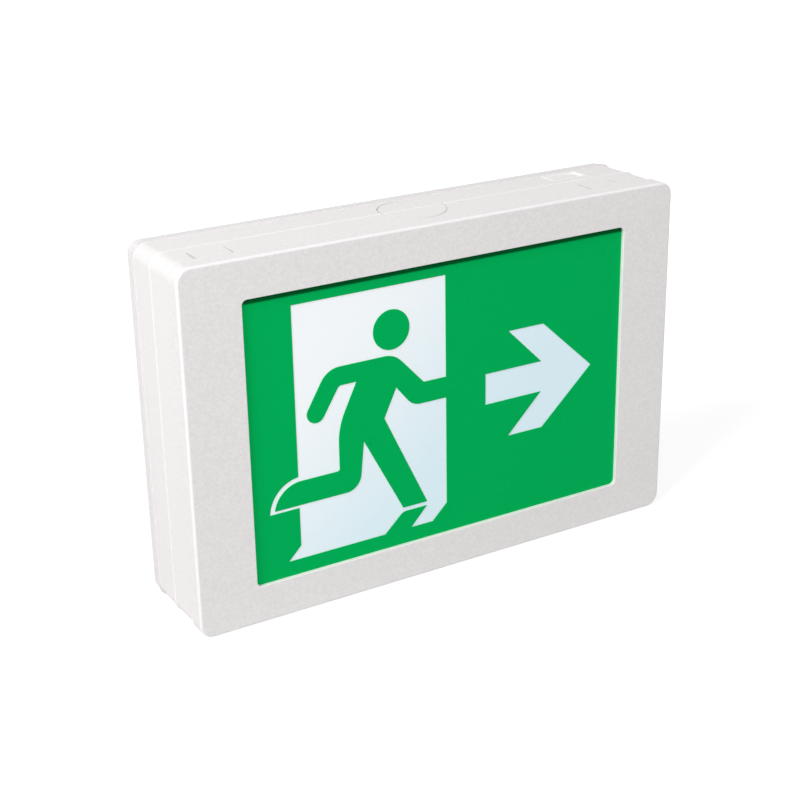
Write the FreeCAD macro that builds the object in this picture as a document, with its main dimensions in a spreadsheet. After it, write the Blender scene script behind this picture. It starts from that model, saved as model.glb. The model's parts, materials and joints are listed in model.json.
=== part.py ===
"""Emergency exit light: a snap-together plastic sign with an edge-to-edge legend.

Frame: X to the right, Y from the legend towards the wall, Z up, in millimetres.
The origin is the middle of the footprint, at the height the sign stands on.
"""
import FreeCAD, Part
import math
import os
import Sketcher

SIZES = {
    # outline of the sign
    "width": 331.5, "height": 219.4, "corner_radius": 8.5,
    "cover_depth": 12.5, "frame_depth": 48, "back_depth": 10,
    # front cover and the legend behind it
    "face_thickness": 2.2, "cover_wall": 2, "cover_fillet": 1.6,
    "window_width": 258, "window_height": 172.5, "window_radius": 3.2,
    "film_thickness": 0.3, "panel_thickness": 2, "panel_overlap": 7,
    "panel_gap": 0.3, "rib_wall": 1.6, "rib_depth": 3,
    "clip_length": 10, "clip_reach": 1.5, "clip_near": 0.12, "clip_far": 0.36, "side_clip": 0.25,
    "door_height": 154.4,
    # ring-shaped housing frame
    "frame_inset": 0.9, "frame_wall": 3.2, "frame_rise": 0.42, "seam_width": 0.8, "seam_inset": 0.2,
    "spigot_depth": 6, "spigot_gap": 0.2,
    "latch_width": 22, "latch_left": 136.5, "latch_right": 125,
    "slit_width": 1.6, "slit_length": 12, "slit_start": 2.5, "latch_pad": 0.45,
    "hook_width": 12, "hook_wall": 1.8, "hook_length": 22, "hook_barb": 1.2, "barb_length": 3,
    "hook_gap": 0.3, "overlap": 1, "cut_over": 6,
    "canopy_radius": 20.5, "groove_width": 0.9, "groove_depth": 0.8,
    "pocket_length": 26, "pocket_width": 14, "pocket_offset": 120, "pocket_start": 6.5,
    "pocket_depth": 0.8, "pocket_rim": 1.2,
    # back plate
    "back_wall": 2, "back_floor": 2.5, "back_fillet": 1.5, "back_rise": 1.2,
    "entry_radius": 11.1, "entry_rim": 2, "box_spacing": 88.9, "screw_radius": 2.3, "screw_slot": 10,
    "wall_spacing_x": 260, "wall_spacing_z": 150, "wall_hole_radius": 2.5,
    # light chamber
    "tray_thickness": 1.6, "tray_gap": 0.5, "tray_rim": 8, "tray_rim_wall": 1.2, "post_side": 11,
    "post_hole_inset": 6, "pilot_hole": 1.2, "boss_radius": 3.2, "boss_length": 5.5,
    "lead_slot_width": 8, "lead_slot_height": 14,
    "led_strip_length": 260, "led_strip_width": 12, "led_strip_thickness": 1.6, "led_strip_spacing": 92,
    "led_count": 12, "led_pitch": 21.5, "led_side": 3.5, "led_height": 1.2,
    # fasteners
    "screw_shank": 1.1, "screw_head": 2.9, "screw_head_depth": 1.8, "screw_length": 8,
    # charger board on the back plate
    "board_length": 110, "board_height": 70, "board_thickness": 1.6, "board_edge": 121.65, "board_drop": 47.7,
    "standoff_height": 5, "standoff_radius": 3.6, "hole_inset": 5,
    # battery
    "cell_radius": 7.25, "cell_length": 50, "cell_count": 3, "battery_edge": 66.65,
    "strap_width": 12, "strap_thickness": 1.2, "strap_foot": 10, "strap_gap": 0.2,
    # test switch and pilot light on the right-hand side
    "switch_y": 48, "switch_drop": 43.7, "pilot_drop": 21.7,
    "dish_radius": 8, "dish_depth": 1.2, "button_radius": 3.9, "button_gap": 0.1,
    "button_proud": 0.6, "button_travel": 1.5, "flange_radius": 5.2, "flange_thickness": 1.4,
    "stem_radius": 2, "stem_gap": 0.05, "stem_length": 7, "switch_side": 12, "switch_depth": 11,
    "lamp_radius": 2.5, "lamp_gap": 0.1,
    "switch_gap": 0.3, "lamp_proud": 0.6, "lamp_length": 5, "leg_pitch": 2.5, "leg_radius": 0.3,
    "switch_board_thickness": 1.6, "switch_board_width": 18, "switch_board_height": 58, "rib_height": 6,
    # parts on the charger board, centred from the board's middle
    "part_gap": 0.15, "coil_x": -8, "coil_z": 12, "core_side": 20, "core_height": 18, "core_depth": 5,
    "core_lift": 4.5, "core_leg": 5, "coil_wall": 4, "coil_height": 10, "bobbin_base": 1.5,
    "can_x": 12, "can_z": 20, "can_pitch": 13, "can_radius": 5, "can_length": 16,
    "film_x": 34, "film_z": -6, "film_length": 13, "film_width": 6, "film_depth": 11,
    "relay_x": -34, "relay_z": 10, "relay_length": 15, "relay_width": 10.5, "relay_depth": 11,
    "fuse_x": 16, "fuse_z": -10, "fuse_radius": 4.2, "fuse_length": 8,
    "terminal_x": -12, "terminal_z": -27, "terminal_count": 3, "terminal_pitch": 7.5,
    "terminal_width": 11, "terminal_depth": 13, "terminal_screw": 2, "terminal_well": 5,
    "terminal_screw_depth": 2, "terminal_mouth": 1.6, "terminal_mouth_y": 4, "terminal_mouth_depth": 8,
    "socket_length": 8, "socket_width": 6.5, "socket_depth": 7, "socket_wall": 0.8, "plug_depth": 9,
    "battery_socket_x": -48, "battery_socket_z": -10, "led_socket_x": 30, "led_socket_z": -15,
    "switch_socket_x": 48, "switch_socket_z": 14,
    # insulated leads and fixings
    "cable_radius": 1.3, "wire_radius": 0.8, "wire_pitch": 2.4, "pad_gap": 0.1, "pad_inset": 2,
    "link_edge": 6, "cable_loop": 12.5, "bend_share": 0.45,
    "short_screw": 6, "strip_screw_pitch": 86, "wrap_share": 0.7,
}

doc = FreeCAD.newDocument("exit_light")
sheet = doc.addObject("Spreadsheet::Sheet", "size")
for row, (alias, number) in enumerate(SIZES.items(), start=1):
    sheet.set(f"A{row}", alias)
    sheet.set(f"B{row}", str(number))
    sheet.setAlias(f"B{row}", alias)
doc.recompute()

# Planes and centres that several pieces share, as expressions on the sheet.
FRONT = "(-(size.cover_depth + size.frame_depth + size.back_depth) / 2)"
FRAME_FRONT = f"({FRONT} + size.cover_depth)"
SEAM = f"({FRAME_FRONT} + size.frame_depth / 2)"
FRAME_BACK = f"({FRAME_FRONT} + size.frame_depth)"
BACK = "((size.cover_depth + size.frame_depth + size.back_depth) / 2)"
PLATE = f"({BACK} - size.back_floor)"
FILM = f"({FRONT} + size.face_thickness)"
PANEL = f"({FILM} + size.film_thickness)"
PANEL_BACK = f"({PANEL} + size.panel_thickness)"
BARB = f"({FILM} + size.hook_length - 2 * size.barb_length)"
TRAY_BACK = f"({SEAM} + size.seam_width / 2)"
TRAY = f"({TRAY_BACK} - size.tray_thickness)"
BOARD = f"({PLATE} - size.standoff_height)"
MIDDLE = "(size.height / 2)"
INSIDE = "(size.width / 2 - size.frame_inset - size.frame_wall)"
ROOF = "(size.height - size.frame_inset - size.frame_wall)"
SWITCH_Y = f"({FRONT} + size.switch_y)"
SWITCH_Z = f"({MIDDLE} - size.switch_drop)"
PILOT_Z = f"({MIDDLE} - size.pilot_drop)"
BOARD_X = f"({INSIDE} - size.board_edge)"
BATTERY_X = f"(size.battery_edge - {INSIDE})"
BOARD_Z = f"({MIDDLE} - size.board_drop)"
LED_X = f"({BOARD_X} + size.led_socket_x)"
LATCHES = [("left", "(-size.latch_left)"), ("right", "size.latch_right")]
AXES = {"X": FreeCAD.Rotation(FreeCAD.Vector(0, 1, 0), 90),
        "Y": FreeCAD.Rotation(FreeCAD.Vector(1, 0, 0), -90),
        "Z": FreeCAD.Rotation()}
pieces = []


def value(expression):
    """Number that an expression on the sheet gives now."""
    return float(sheet.evalExpression(expression))


def new_body(label):
    """Empty PartDesign body for one piece."""
    body = doc.addObject("PartDesign::Body", label)
    pieces.append(body)
    return body


def place(feature, rotation, x, y, z):
    """Turn a feature and tie its position to the sheet."""
    feature.Placement = FreeCAD.Placement(FreeCAD.Vector(), rotation)
    for axis, expression in zip("xyz", (x, y, z)):
        feature.setExpression(f"Placement.Base.{axis}", str(expression))


def block(body, name, low, lengths, cut=False, both=False):
    """Box with its low corner at low, added or cut; both repeats it across X = 0."""
    kind = "SubtractiveBox" if cut else "AdditiveBox"
    feature = body.newObject(f"PartDesign::{kind}", name)
    for side, expression in zip(("Length", "Width", "Height"), lengths):
        feature.setExpression(side, str(expression))
    place(feature, AXES["Z"], *low)
    if both:
        block(body, name + "_left", (f"-({low[0]} + {lengths[0]})", *low[1:]), lengths, cut)
    return feature


def rod(body, name, axis, base, radius, length, cut=False, both=False):
    """Cylinder from base along +axis, added or cut; both repeats it across X = 0."""
    kind = "SubtractiveCylinder" if cut else "AdditiveCylinder"
    feature = body.newObject(f"PartDesign::{kind}", name)
    feature.setExpression("Radius", str(radius))
    feature.setExpression("Height", str(length))
    place(feature, AXES[axis], *base)
    if both:
        rod(body, name + "_left", axis, (f"-{base[0]}", *base[1:]), radius, length, cut)
    return feature


def upright_sketch(body, name, depth):
    """Sketch parallel to the legend, at one depth in the sign."""
    sketch = body.newObject("Sketcher::SketchObject", name)
    plane = next(o for o in body.Origin.OriginFeatures if o.Role == "XZ_Plane")
    sketch.AttachmentSupport = [(plane, "")]
    sketch.MapMode = "FlatFace"
    sketch.setExpression("AttachmentOffset.Base.z", f"-{depth}")
    return sketch


def rounded_rectangle(sketch, width, height, radius, centre=MIDDLE):
    """Rounded rectangle centred on X = 0, every size tied to the sheet."""
    wide, high, round_by, mid = (value(e) for e in (width, height, radius, centre))
    x, z = wide / 2, high / 2
    corner = [(x - round_by, mid - z + round_by, 270), (x - round_by, mid + z - round_by, 0),
              (round_by - x, mid + z - round_by, 90), (round_by - x, mid - z + round_by, 180)]
    first = sketch.GeometryCount
    up = FreeCAD.Vector(0, 0, 1)
    arcs = []
    for cx, cz, start in corner:
        circle = Part.Circle(FreeCAD.Vector(cx, cz, 0), up, round_by)
        turn = [math.radians(start + swing) for swing in (0, 90)]
        arcs.append(sketch.addGeometry(Part.ArcOfCircle(circle, *turn), False))
    sides = []
    for k, arc in enumerate(arcs):
        begin = sketch.getPoint(arc, 2)
        end = sketch.getPoint(arcs[(k + 1) % 4], 1)
        sides.append(sketch.addGeometry(Part.LineSegment(begin, end), False))
    for k, side in enumerate(sides):
        sketch.addConstraint(Sketcher.Constraint("Tangent", arcs[k], 2, side, 1))
        sketch.addConstraint(Sketcher.Constraint("Tangent", side, 2, arcs[(k + 1) % 4], 1))
        sketch.addConstraint(Sketcher.Constraint("Horizontal" if k % 2 else "Vertical", side))
    for arc in arcs[1:]:
        sketch.addConstraint(Sketcher.Constraint("Equal", arcs[0], arc))
    tie = [(Sketcher.Constraint("Radius", arcs[0], round_by), radius),
           (Sketcher.Constraint("DistanceX", -1, 1, sides[0], 1, x), f"{width} / 2"),
           (Sketcher.Constraint("DistanceX", sides[2], 1, -1, 1, x), f"{width} / 2"),
           (Sketcher.Constraint("DistanceY", -1, 1, sides[1], 1, mid + z), f"{centre} + {height} / 2"),
           (Sketcher.Constraint("DistanceY", sides[3], 1, sides[1], 1, high), height)]
    for constraint, expression in tie:
        number = sketch.addConstraint(constraint)
        sketch.setExpression(f"Constraints[{number}]", str(expression))
    return first


def slab(body, name, start, length, outline, cut=False, taper=0, forwards=False):
    """Outline on the plane Y = start, pushed back (or forwards) and added or cut."""
    sketch = upright_sketch(body, name + "_outline", start)
    outline(sketch)
    feature = body.newObject("PartDesign::Pocket" if cut else "PartDesign::Pad", name)
    feature.Profile = sketch
    feature.Reversed = cut == forwards
    feature.setExpression("Length", str(length))
    if taper:
        feature.setExpression("TaperAngle", str(taper))
    return feature


def rectangle(width, height, radius, centre=MIDDLE):
    """Outline function for slab: one rounded rectangle."""
    return lambda sketch: rounded_rectangle(sketch, width, height, radius, centre)


def round_edges(body, name, test, radius):
    """Fillet the edges of the body so far whose bounding box passes the test."""
    doc.recompute()
    base = body.Tip
    chosen = [f"Edge{k}" for k, edge in enumerate(base.Shape.Edges, start=1) if test(edge.BoundBox)]
    feature = body.newObject("PartDesign::Fillet", name)
    feature.Base = (base, chosen)
    feature.setExpression("Radius", str(radius))
    return feature


def bevel_edges(body, name, test, width):
    """Chamfer the edges of the body so far whose bounding box passes the test."""
    doc.recompute()
    base = body.Tip
    chosen = [f"Edge{k}" for k, edge in enumerate(base.Shape.Edges, start=1) if test(edge.BoundBox)]
    feature = body.newObject("PartDesign::Chamfer", name)
    feature.Base = (base, chosen)
    feature.setExpression("Size", str(width))
    return feature


def on_plane(axis, expression):
    """Test for round_edges: the edge lies flat on a plane square to the axis."""
    level = value(expression)
    return lambda box: all(abs(getattr(box, axis + end) - level) < 0.01 for end in ("Min", "Max"))


def front_cover():
    """Shallow pan with the legend window, ribs that hold the panel, and snap hooks."""
    body = new_body("front_cover")
    slab(body, "shell", FRONT, "size.cover_depth",
         rectangle("size.width", "size.height", "size.corner_radius"))
    round_edges(body, "face_round", on_plane("Y", FRONT), "size.cover_fillet")
    slab(body, "hollow", FILM, "size.cover_depth - size.face_thickness",
         rectangle("(size.width - 2 * size.cover_wall)", "(size.height - 2 * size.cover_wall)",
                   "(size.corner_radius - size.cover_wall)"), cut=True)
    doc.recompute()
    inner_w = "(size.window_width + 2 * (size.panel_overlap + size.panel_gap))"
    inner_h = "(size.window_height + 2 * (size.panel_overlap + size.panel_gap))"

    def rib_outline(sketch):
        rounded_rectangle(sketch, f"({inner_w} + 2 * size.rib_wall)", f"({inner_h} + 2 * size.rib_wall)",
                          "(size.window_radius + size.rib_wall)")
        rounded_rectangle(sketch, inner_w, inner_h, "size.window_radius")

    rib_length = f"({PANEL_BACK} - {FILM} + size.rib_depth)"
    slab(body, "panel_rib", FILM, rib_length, rib_outline)
    slab(body, "window", FRONT, "size.face_thickness",
         rectangle("size.window_width", "size.window_height", "size.window_radius"), cut=True)
    clip_y = f"({PANEL_BACK} + size.hook_gap / 3)"
    reach = "(size.clip_reach + size.panel_gap)"
    clip_depth = f"({FILM} + {rib_length} - {clip_y})"
    for side, z in (("top", f"({MIDDLE} + {inner_h} / 2 - {reach})"),
                    ("bottom", f"({MIDDLE} - {inner_h} / 2)")):
        for spot in ("near", "far"):
            block(body, f"{side}_{spot}_clip",
                  (f"(size.clip_{spot} * {inner_w} - size.clip_length / 2)", clip_y, z),
                  ("size.clip_length", clip_depth, reach), both=True)
    for side, sign in (("lower", "-"), ("upper", "+")):
        block(body, f"{side}_side_clip",
              (f"({inner_w} / 2 - {reach})", clip_y,
               f"({MIDDLE} {sign} size.side_clip * {inner_h} - size.clip_length / 2)"),
              (reach, clip_depth, "size.clip_length"), both=True)

    finger_top = f"({ROOF} - size.hook_gap)"
    finger_low = f"(size.height - {finger_top})"
    for side, z, barb_z in (("top", f"({finger_top} - size.hook_wall)", finger_top),
                            ("bottom", finger_low, f"({finger_low} - size.hook_barb)")):
        for end, x in LATCHES:
            start_x = f"({x} - size.hook_width / 2)"
            block(body, f"{side}_{end}_hook", (start_x, FILM, z),
                  ("size.hook_width", "size.hook_length", "size.hook_wall"))
            block(body, f"{side}_{end}_barb", (start_x, BARB, barb_z),
                  ("size.hook_width", "size.barb_length", "size.hook_barb"))


# Legend artwork: corner points in millimetres from the legend's centre, for a door
# DRAWN_HEIGHT tall. A third number rounds that corner.
DRAWN_HEIGHT = 154.4
DOORWAY = [(-99, 77.5), (1, 77.5), (1, -67), (-9.3, -76.9), (-107.4, -76.9), (-99, -68.4)]
FOOT_HALO = [(-95, -25), (-116.5, -25, 20.9), (-117.9, -44.6), (-95, -44.6)]
FOOT_SHADOW = [(-43.3, -77.5), (-30, -65.1, 6), (-13.3, -65.1), (-25, -77.5)]
RUNNER = [(6, 14.9), (-14.4, 14.9, 1.5), (-33.9, 36, 15), (-78, 36, 14), (-94, 9, 5.7), (-84.1, 3.1, 5.7),
          (-70.8, 24.6, 3), (-59.4, 24.6), (-72, -1, 44), (-72, -28, 1.5), (-112.1, -28, 17.9),
          (-114.7, -42.9), (-58.9, -42.9, 10), (-55.6, -13.2), (-29.8, -62.5), (-13, -62.5),
          (-41.6, -2.1, 1), (-33.2, 15.4), (-22.1, 1.8, 11), (6, 1.8)]
HEAD = (-35.7, 51.3, 12.1)
ARROW = [(45.6, 34.6), (71, 34.6), (107.9, 0.6), (71, -33.4), (45.6, -33.4), (69.9, -9.3), (29, -9.3),
         (29, 10.5), (69.9, 10.5)]


def outline_face(points, depth, scale):
    """Flat face inside a closed outline of straight sides and rounded corners."""
    middle = value(MIDDLE)
    edges, ends = [], []
    spots = [FreeCAD.Vector(p[0] * scale, depth, middle + p[1] * scale) for p in points]
    for k, point in enumerate(points):
        here, before, after = spots[k], spots[k - 1], spots[(k + 1) % len(points)]
        if len(point) == 2:
            ends.append((here, here))
            continue
        back = (before - here).normalize()
        ahead = (after - here).normalize()
        radius = point[2] * scale
        half = back.getAngle(ahead) / 2
        reach = radius / math.tan(half)
        centre = here + (back + ahead).normalize() * (radius / math.sin(half))
        nearest = centre + (here - centre).normalize() * radius
        ends.append((here + back * reach, here + ahead * reach))
        edges.append(Part.Arc(ends[-1][0], nearest, ends[-1][1]).toShape())
    for k, (start, _) in enumerate(ends):
        previous = ends[k - 1][1]
        if previous.distanceToPoint(start) > 0.001:
            edges.append(Part.LineSegment(previous, start).toShape())
    return Part.Face(Part.Wire(Part.__sortEdges__(edges)))


def legend_film():
    """Green film: the field and the runner round the doorway, the arrow and the head."""
    depth = value(FILM)
    x = value("size.window_width / 2 + size.panel_overlap")
    z = value("size.window_height / 2 + size.panel_overlap")
    round_by = value("size.window_radius - size.panel_gap")
    corners = [(-x, -z, round_by), (x, -z, round_by), (x, z, round_by), (-x, z, round_by)]
    field = outline_face(corners, depth, 1)
    scale = value("size.door_height") / DRAWN_HEIGHT
    centre = FreeCAD.Vector(HEAD[0] * scale, depth, value(MIDDLE) + HEAD[1] * scale)
    circle = Part.Circle(centre, FreeCAD.Vector(0, 1, 0), HEAD[2] * scale)
    head = Part.Face(Part.Wire(circle.toShape()))
    doorway, halo, runner, shadow, arrow = (outline_face(points, depth, scale)
                                            for points in (DOORWAY, FOOT_HALO, RUNNER, FOOT_SHADOW, ARROW))
    light = doorway.fuse(halo).cut([runner, shadow, head])
    green = field.cut([light, arrow])
    film = doc.addObject("Part::Feature", "legend_film")
    film.Shape = green.extrude(FreeCAD.Vector(0, value("size.film_thickness"), 0)).removeSplitter()
    pieces.append(film)


def legend_panel():
    """White diffusing panel that the film lies on."""
    body = new_body("legend_panel")
    slab(body, "sheet", PANEL, "size.panel_thickness",
         rectangle("(size.window_width + 2 * size.panel_overlap)",
                   "(size.window_height + 2 * size.panel_overlap)", "(size.window_radius - size.panel_gap)"))


def housing_frame():
    """Ring between the two covers, drafted both ways from its parting line."""
    body = new_body("housing_frame")
    half = "(size.frame_depth / 2)"
    at_seam = ("(size.width - 2 * (size.frame_inset - size.frame_rise))",
               "(size.height - 2 * (size.frame_inset - size.frame_rise))", "size.corner_radius")
    draft = f"-atan(size.frame_rise / {half})"
    slab(body, "rear_half", SEAM, half, rectangle(*at_seam), taper=draft)
    slab(body, "front_half", SEAM, half, rectangle(*at_seam), taper=draft, forwards=True)
    slab(body, "seam_rim", f"({SEAM} - size.seam_width / 2)", "size.seam_width",
         rectangle("(size.width - 2 * size.seam_inset)", "(size.height - 2 * size.seam_inset)",
                   "size.corner_radius"))
    for name, start, wall in (("front_spigot", f"({FRAME_FRONT} - size.spigot_depth)", "size.cover_wall"),
                              ("rear_spigot", FRAME_BACK, "size.back_wall")):
        gap = f"({wall} + size.spigot_gap)"
        slab(body, name, start, "size.spigot_depth",
             rectangle(f"(size.width - 2 * {gap})", f"(size.height - 2 * {gap})",
                       f"(size.corner_radius - {gap})"))
    slab(body, "hollow", f"({FRAME_FRONT} - size.spigot_depth)", "size.frame_depth + 2 * size.spigot_depth",
         rectangle(f"(2 * {INSIDE})", f"(size.height - 2 * (size.frame_inset + size.frame_wall))",
                   "(size.corner_radius - size.frame_inset - size.frame_wall)"), cut=True)

    floor = f"(size.height - {ROOF})"
    # The posts' outer corners stay behind the rounded corners of the frame.
    into_wall = "((size.frame_wall - (1 - cos(45 deg)) * size.corner_radius) / 2)"
    post = f"(size.post_side + {into_wall})"
    post_length = f"({FRAME_BACK} - {TRAY_BACK})"
    for name, z, hole_z in (("lower", f"({floor} - {into_wall})", f"({floor} + size.post_hole_inset)"),
                            ("upper", f"({ROOF} - size.post_side)", f"({ROOF} - size.post_hole_inset)")):
        block(body, f"{name}_post", (f"({INSIDE} - size.post_side)", TRAY_BACK, z),
              (post, post_length, post), both=True)
        rod(body, f"{name}_post_hole", "Y", (f"({INSIDE} - size.post_hole_inset)", TRAY_BACK, hole_z),
            "size.pilot_hole", "size.screw_length", cut=True, both=True)

    slit_y = f"({FRAME_FRONT} + size.slit_start)"
    top = "(size.height - size.frame_inset)"
    wall = "(size.frame_inset + size.frame_wall + size.overlap)"
    for name, wall_z, pad_z, pocket_z in (
            ("top", f"({ROOF} - size.overlap)", f"({ROOF} + size.overlap)", f"({ROOF} - size.overlap)"),
            ("bottom", "0", "(size.frame_inset - size.latch_pad)", f"({floor} - size.hook_barb)")):
        for end, x in LATCHES:
            block(body, f"{name}_{end}_pad", (f"({x} - size.latch_width / 2)", slit_y, pad_z),
                  ("size.latch_width", "size.slit_length",
                   "(size.frame_wall + size.latch_pad - size.overlap)"))
            for side, sign in (("left", "-"), ("right", "+")):
                block(body, f"{name}_{end}_{side}_slit",
                      (f"({x} {sign} size.latch_width / 2 - size.slit_width / 2)", slit_y, wall_z),
                      ("size.slit_width", "size.slit_length", wall), cut=True)
            block(body, f"{name}_{end}_barb_pocket",
                  (f"({x} - size.hook_width / 2 - size.hook_gap)", f"({BARB} - size.hook_gap)", pocket_z),
                  ("(size.hook_width + 2 * size.hook_gap)", "(size.barb_length + 2 * size.hook_gap)",
                   "(size.hook_barb + size.overlap)"), cut=True)

    rim_z = f"({top} - size.overlap)"
    pocket_y = f"({SEAM} + size.pocket_start)"
    block(body, "plug_rim", ("(size.pocket_offset - size.pocket_length / 2)", pocket_y, rim_z),
          ("size.pocket_length", "size.pocket_width", "(size.overlap + size.latch_pad)"))
    block(body, "plug_recess", ("(size.pocket_offset - size.pocket_length / 2 + size.pocket_rim)",
                                f"({pocket_y} + size.pocket_rim)", f"({top} - size.pocket_depth)"),
          ("(size.pocket_length - 2 * size.pocket_rim)", "(size.pocket_width - 2 * size.pocket_rim)",
           "size.cut_over"),
          cut=True)

    groove = body.newObject("Sketcher::SketchObject", "knockout_outline")
    plane = next(o for o in body.Origin.OriginFeatures if o.Role == "XY_Plane")
    groove.AttachmentSupport = [(plane, "")]
    groove.MapMode = "FlatFace"
    groove.setExpression("AttachmentOffset.Base.z", "size.height")
    up = FreeCAD.Vector(0, 0, 1)
    for radius in ("(size.canopy_radius - size.groove_width / 2)",
                   "(size.canopy_radius + size.groove_width / 2)"):
        middle = FreeCAD.Vector(0, value(SEAM), 0)
        ring = groove.addGeometry(Part.Circle(middle, up, value(radius)), False)
        bind = groove.addConstraint(Sketcher.Constraint("Radius", ring, value(radius)))
        groove.setExpression(f"Constraints[{bind}]", radius)
        groove.addConstraint(Sketcher.Constraint("PointOnObject", ring, 3, -2))
        shift = groove.addConstraint(Sketcher.Constraint("DistanceY", -1, 1, ring, 3, value(SEAM)))
        groove.setExpression(f"Constraints[{shift}]", SEAM)
    cut = body.newObject("PartDesign::Pocket", "knockout_groove")
    cut.Profile = groove
    cut.setExpression("Length", "size.frame_inset + size.groove_depth")

    inward = "(size.width / 2 - size.frame_inset - size.dish_depth)"
    rod(body, "button_dish", "X", (inward, SWITCH_Y, SWITCH_Z), "size.dish_radius",
        "size.cut_over", cut=True)
    rod(body, "button_hole", "X", (f"({INSIDE} - size.overlap)", SWITCH_Y, SWITCH_Z),
        "(size.button_radius + size.button_gap)", "size.cut_over", cut=True)
    rod(body, "lamp_hole", "X", (f"({INSIDE} - size.overlap)", SWITCH_Y, PILOT_Z),
        "(size.lamp_radius + size.lamp_gap)", "size.cut_over", cut=True)
    for name, z in (("lower", SWITCH_BOARD_LOW),
                    ("upper", f"({SWITCH_BOARD_LOW} + size.switch_board_height - size.rib_height)")):
        block(body, f"{name}_switch_rib", (SWITCH_BOARD, f"({SWITCH_Y} - size.rib_height)", z),
              (f"({INSIDE} - {SWITCH_BOARD} + {into_wall})", "2 * size.rib_height", "size.rib_height"))
    for name, z in SWITCH_SCREWS:
        rod(body, f"{name}_switch_hole", "X", (SWITCH_BOARD, SWITCH_Y, z), "size.pilot_hole",
            "size.screw_length", cut=True)


def back_plate():
    """Pan that closes the back: wire entry, screw slots, posts for the board and the battery."""
    body = new_body("back_plate")
    slab(body, "shell", FRAME_BACK, "size.back_depth",
         rectangle("size.width", "size.height", "size.corner_radius"),
         taper="-atan(size.back_rise / size.back_depth)")
    round_edges(body, "back_round", on_plane("Y", BACK), "size.back_fillet")
    slab(body, "hollow", FRAME_BACK, "size.back_depth - size.back_floor",
         rectangle("(size.width - 2 * size.back_wall)", "(size.height - 2 * size.back_wall)",
                   "(size.corner_radius - size.back_wall)"), cut=True)
    rod(body, "entry_collar", "Y", (0, f"({PLATE} - size.entry_rim)", MIDDLE),
        "(size.entry_radius + size.entry_rim)", "size.entry_rim")
    rod(body, "entry", "Y", (0, f"({PLATE} - size.entry_rim)", MIDDLE), "size.entry_radius",
        "(size.back_floor + size.entry_rim + size.overlap)", cut=True)
    through = "(size.back_floor + size.overlap)"
    reach = "(size.screw_slot / 2 - size.screw_radius)"
    slot_x = "(size.box_spacing / 2)"
    block(body, "slot_middle", (f"({slot_x} - {reach})", PLATE, f"({MIDDLE} - size.screw_radius)"),
          (f"(2 * {reach})", through, "(2 * size.screw_radius)"), cut=True, both=True)
    for name, sign in (("inner", "-"), ("outer", "+")):
        rod(body, f"slot_{name}", "Y", (f"({slot_x} {sign} {reach})", PLATE, MIDDLE), "size.screw_radius",
            through, cut=True, both=True)
    for name, sign in (("lower", "-"), ("upper", "+")):
        rod(body, f"{name}_wall_hole", "Y",
            ("(size.wall_spacing_x / 2)", PLATE, f"({MIDDLE} {sign} size.wall_spacing_z / 2)"),
            "size.wall_hole_radius", through, cut=True, both=True)
    for k, (x, z) in enumerate(BOARD_CORNERS + STRAP_FEET):
        rod(body, f"post_{k}", "Y", (x, BOARD, z), "size.standoff_radius", "size.standoff_height")
        rod(body, f"post_hole_{k}", "Y", (x, BOARD, z), "size.pilot_hole", "size.standoff_height", cut=True)


# Planes and fixing points of the inner pieces.
SWITCH_FACE = f"({INSIDE} - size.button_gap - size.flange_thickness - size.button_travel - size.switch_gap)"
SWITCH_BOARD = f"({SWITCH_FACE} - size.switch_depth)"
SWITCH_BOARD_LOW = f"(({SWITCH_Z} + {PILOT_Z} - size.switch_board_height) / 2)"
SWITCH_SCREWS = [("lower", f"({SWITCH_BOARD_LOW} + size.rib_height / 2)"),
                 ("upper", f"({SWITCH_BOARD_LOW} + size.switch_board_height - size.rib_height / 2)")]
BOARD_CORNERS = [(f"({BOARD_X} {sx} (size.board_length / 2 - size.hole_inset))",
                  f"({BOARD_Z} {sz} (size.board_height / 2 - size.hole_inset))")
                 for sx in "-+" for sz in "-+"]
PACK_HALF = "(size.cell_count * size.cell_radius)"
STRAP_FEET = [(BATTERY_X, f"({BOARD_Z} {sign} ({PACK_HALF} + size.strap_gap"
               " + size.strap_thickness + size.strap_foot / 2))") for sign in "-+"]
STRIPS = {"upper": f"({MIDDLE} + size.led_strip_spacing / 2)",
          "lower": f"({MIDDLE} - size.led_strip_spacing / 2)"}
STRIP_SCREWS = ["size.strip_screw_pitch", "-size.strip_screw_pitch"]
STRIP_FRONT = f"({TRAY} - size.led_strip_thickness)"
BOARD_FACE = f"({BOARD} - size.board_thickness)"
TRAY_CORNERS = [(f"({sx} * ({INSIDE} - size.post_hole_inset))", z)
                for sx in ("-1", "1")
                for z in (f"(size.height - {ROOF} + size.post_hole_inset)",
                          f"({ROOF} - size.post_hole_inset)")]


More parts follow.
